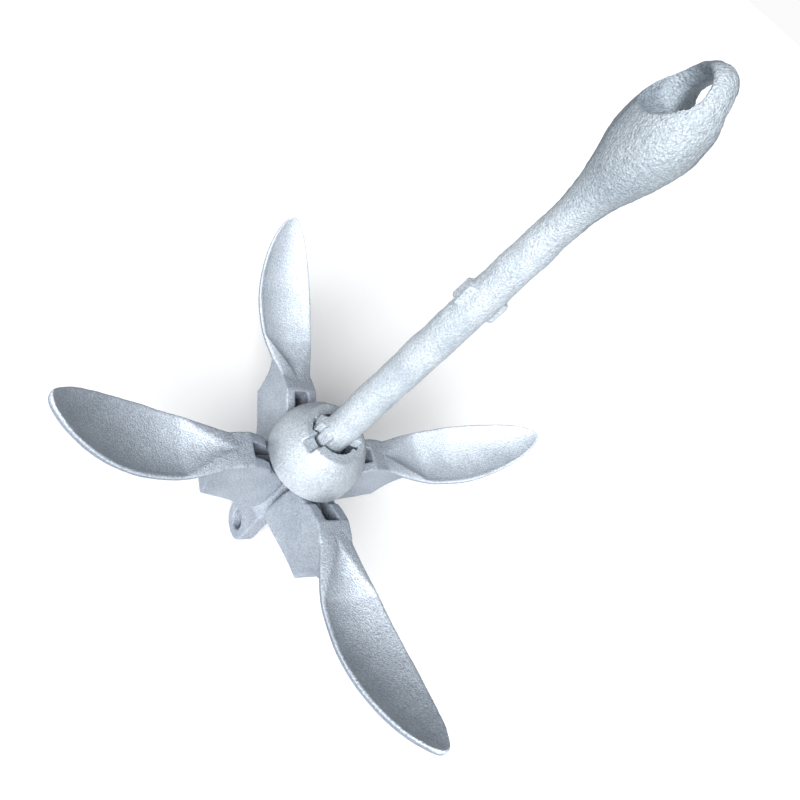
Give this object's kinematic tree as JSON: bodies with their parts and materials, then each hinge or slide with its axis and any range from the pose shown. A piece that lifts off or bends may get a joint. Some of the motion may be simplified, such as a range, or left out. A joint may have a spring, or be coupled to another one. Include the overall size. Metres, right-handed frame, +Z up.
{
  "type": "folding grapnel anchor",
  "caption": "Folding grapnel anchor with a rode eye, a sliding lock collar, hinged spoon flukes on a crown and a trip-line lug.",
  "frame": {"origin": "lowest point of the trip-line lug, on the shank's axis", "axes": "+Z up the shank to the rode eye; one fluke along each of +X, +Y, -X and -Y"},
  "size_m": [0.2466, 0.2466, 0.303],
  "materials": {
    "shank_zinc": "hot-dip galvanised sand casting, pale grey, lumpy zinc runs",
    "crown_zinc": "hot-dip galvanised sand casting, grey",
    "collar_zinc": "hot-dip galvanised casting, smooth dome, pale grey",
    "fluke_zinc": "hot-dip galvanised sand casting, fine orange peel, pale grey",
    "pin_zinc": "galvanised steel pin, peened ends"
  },
  "bodies": {
    "frame": {"shank": "shank_zinc", "crown": "crown_zinc", "crown_pin": "pin_zinc"},
    "collar": {"collar": "collar_zinc"},
    "fluke_right": {"fluke_right": "fluke_zinc", "pivot_pin_right": "pin_zinc"},
    "fluke_top": {"fluke_top": "fluke_zinc", "pivot_pin_top": "pin_zinc"},
    "fluke_left": {"fluke_left": "fluke_zinc", "pivot_pin_left": "pin_zinc"},
    "fluke_bottom": {"fluke_bottom": "fluke_zinc", "pivot_pin_bottom": "pin_zinc"}
  },
  "joints": [
    {"name": "collar_slide", "type": "slide", "parent": "frame", "child": "collar", "axis": [0, 0, 1], "range_m": [0, 0.102]},
    {"name": "fold_right", "type": "hinge", "parent": "frame", "child": "fluke_right", "pos_m": [0.025, 0, 0.065], "axis": [0, -1, 0], "range_deg": [0, 66]},
    {"name": "fold_top", "type": "hinge", "parent": "frame", "child": "fluke_top", "pos_m": [0, 0.025, 0.065], "axis": [1, 0, 0], "range_deg": [0, 66]},
    {"name": "fold_left", "type": "hinge", "parent": "frame", "child": "fluke_left", "pos_m": [-0.025, 0, 0.065], "axis": [0, 1, 0], "range_deg": [0, 66]},
    {"name": "fold_bottom", "type": "hinge", "parent": "frame", "child": "fluke_bottom", "pos_m": [0, -0.025, 0.065], "axis": [-1, 0, 0], "range_deg": [0, 66]}
  ],
  "couplings": [
    {"joint": "fold_right", "follows": "collar_slide", "rad_per_m": 11.29},
    {"joint": "fold_top", "follows": "collar_slide", "rad_per_m": 11.29},
    {"joint": "fold_left", "follows": "collar_slide", "rad_per_m": 11.29},
    {"joint": "fold_bottom", "follows": "collar_slide", "rad_per_m": 11.29}
  ]
}
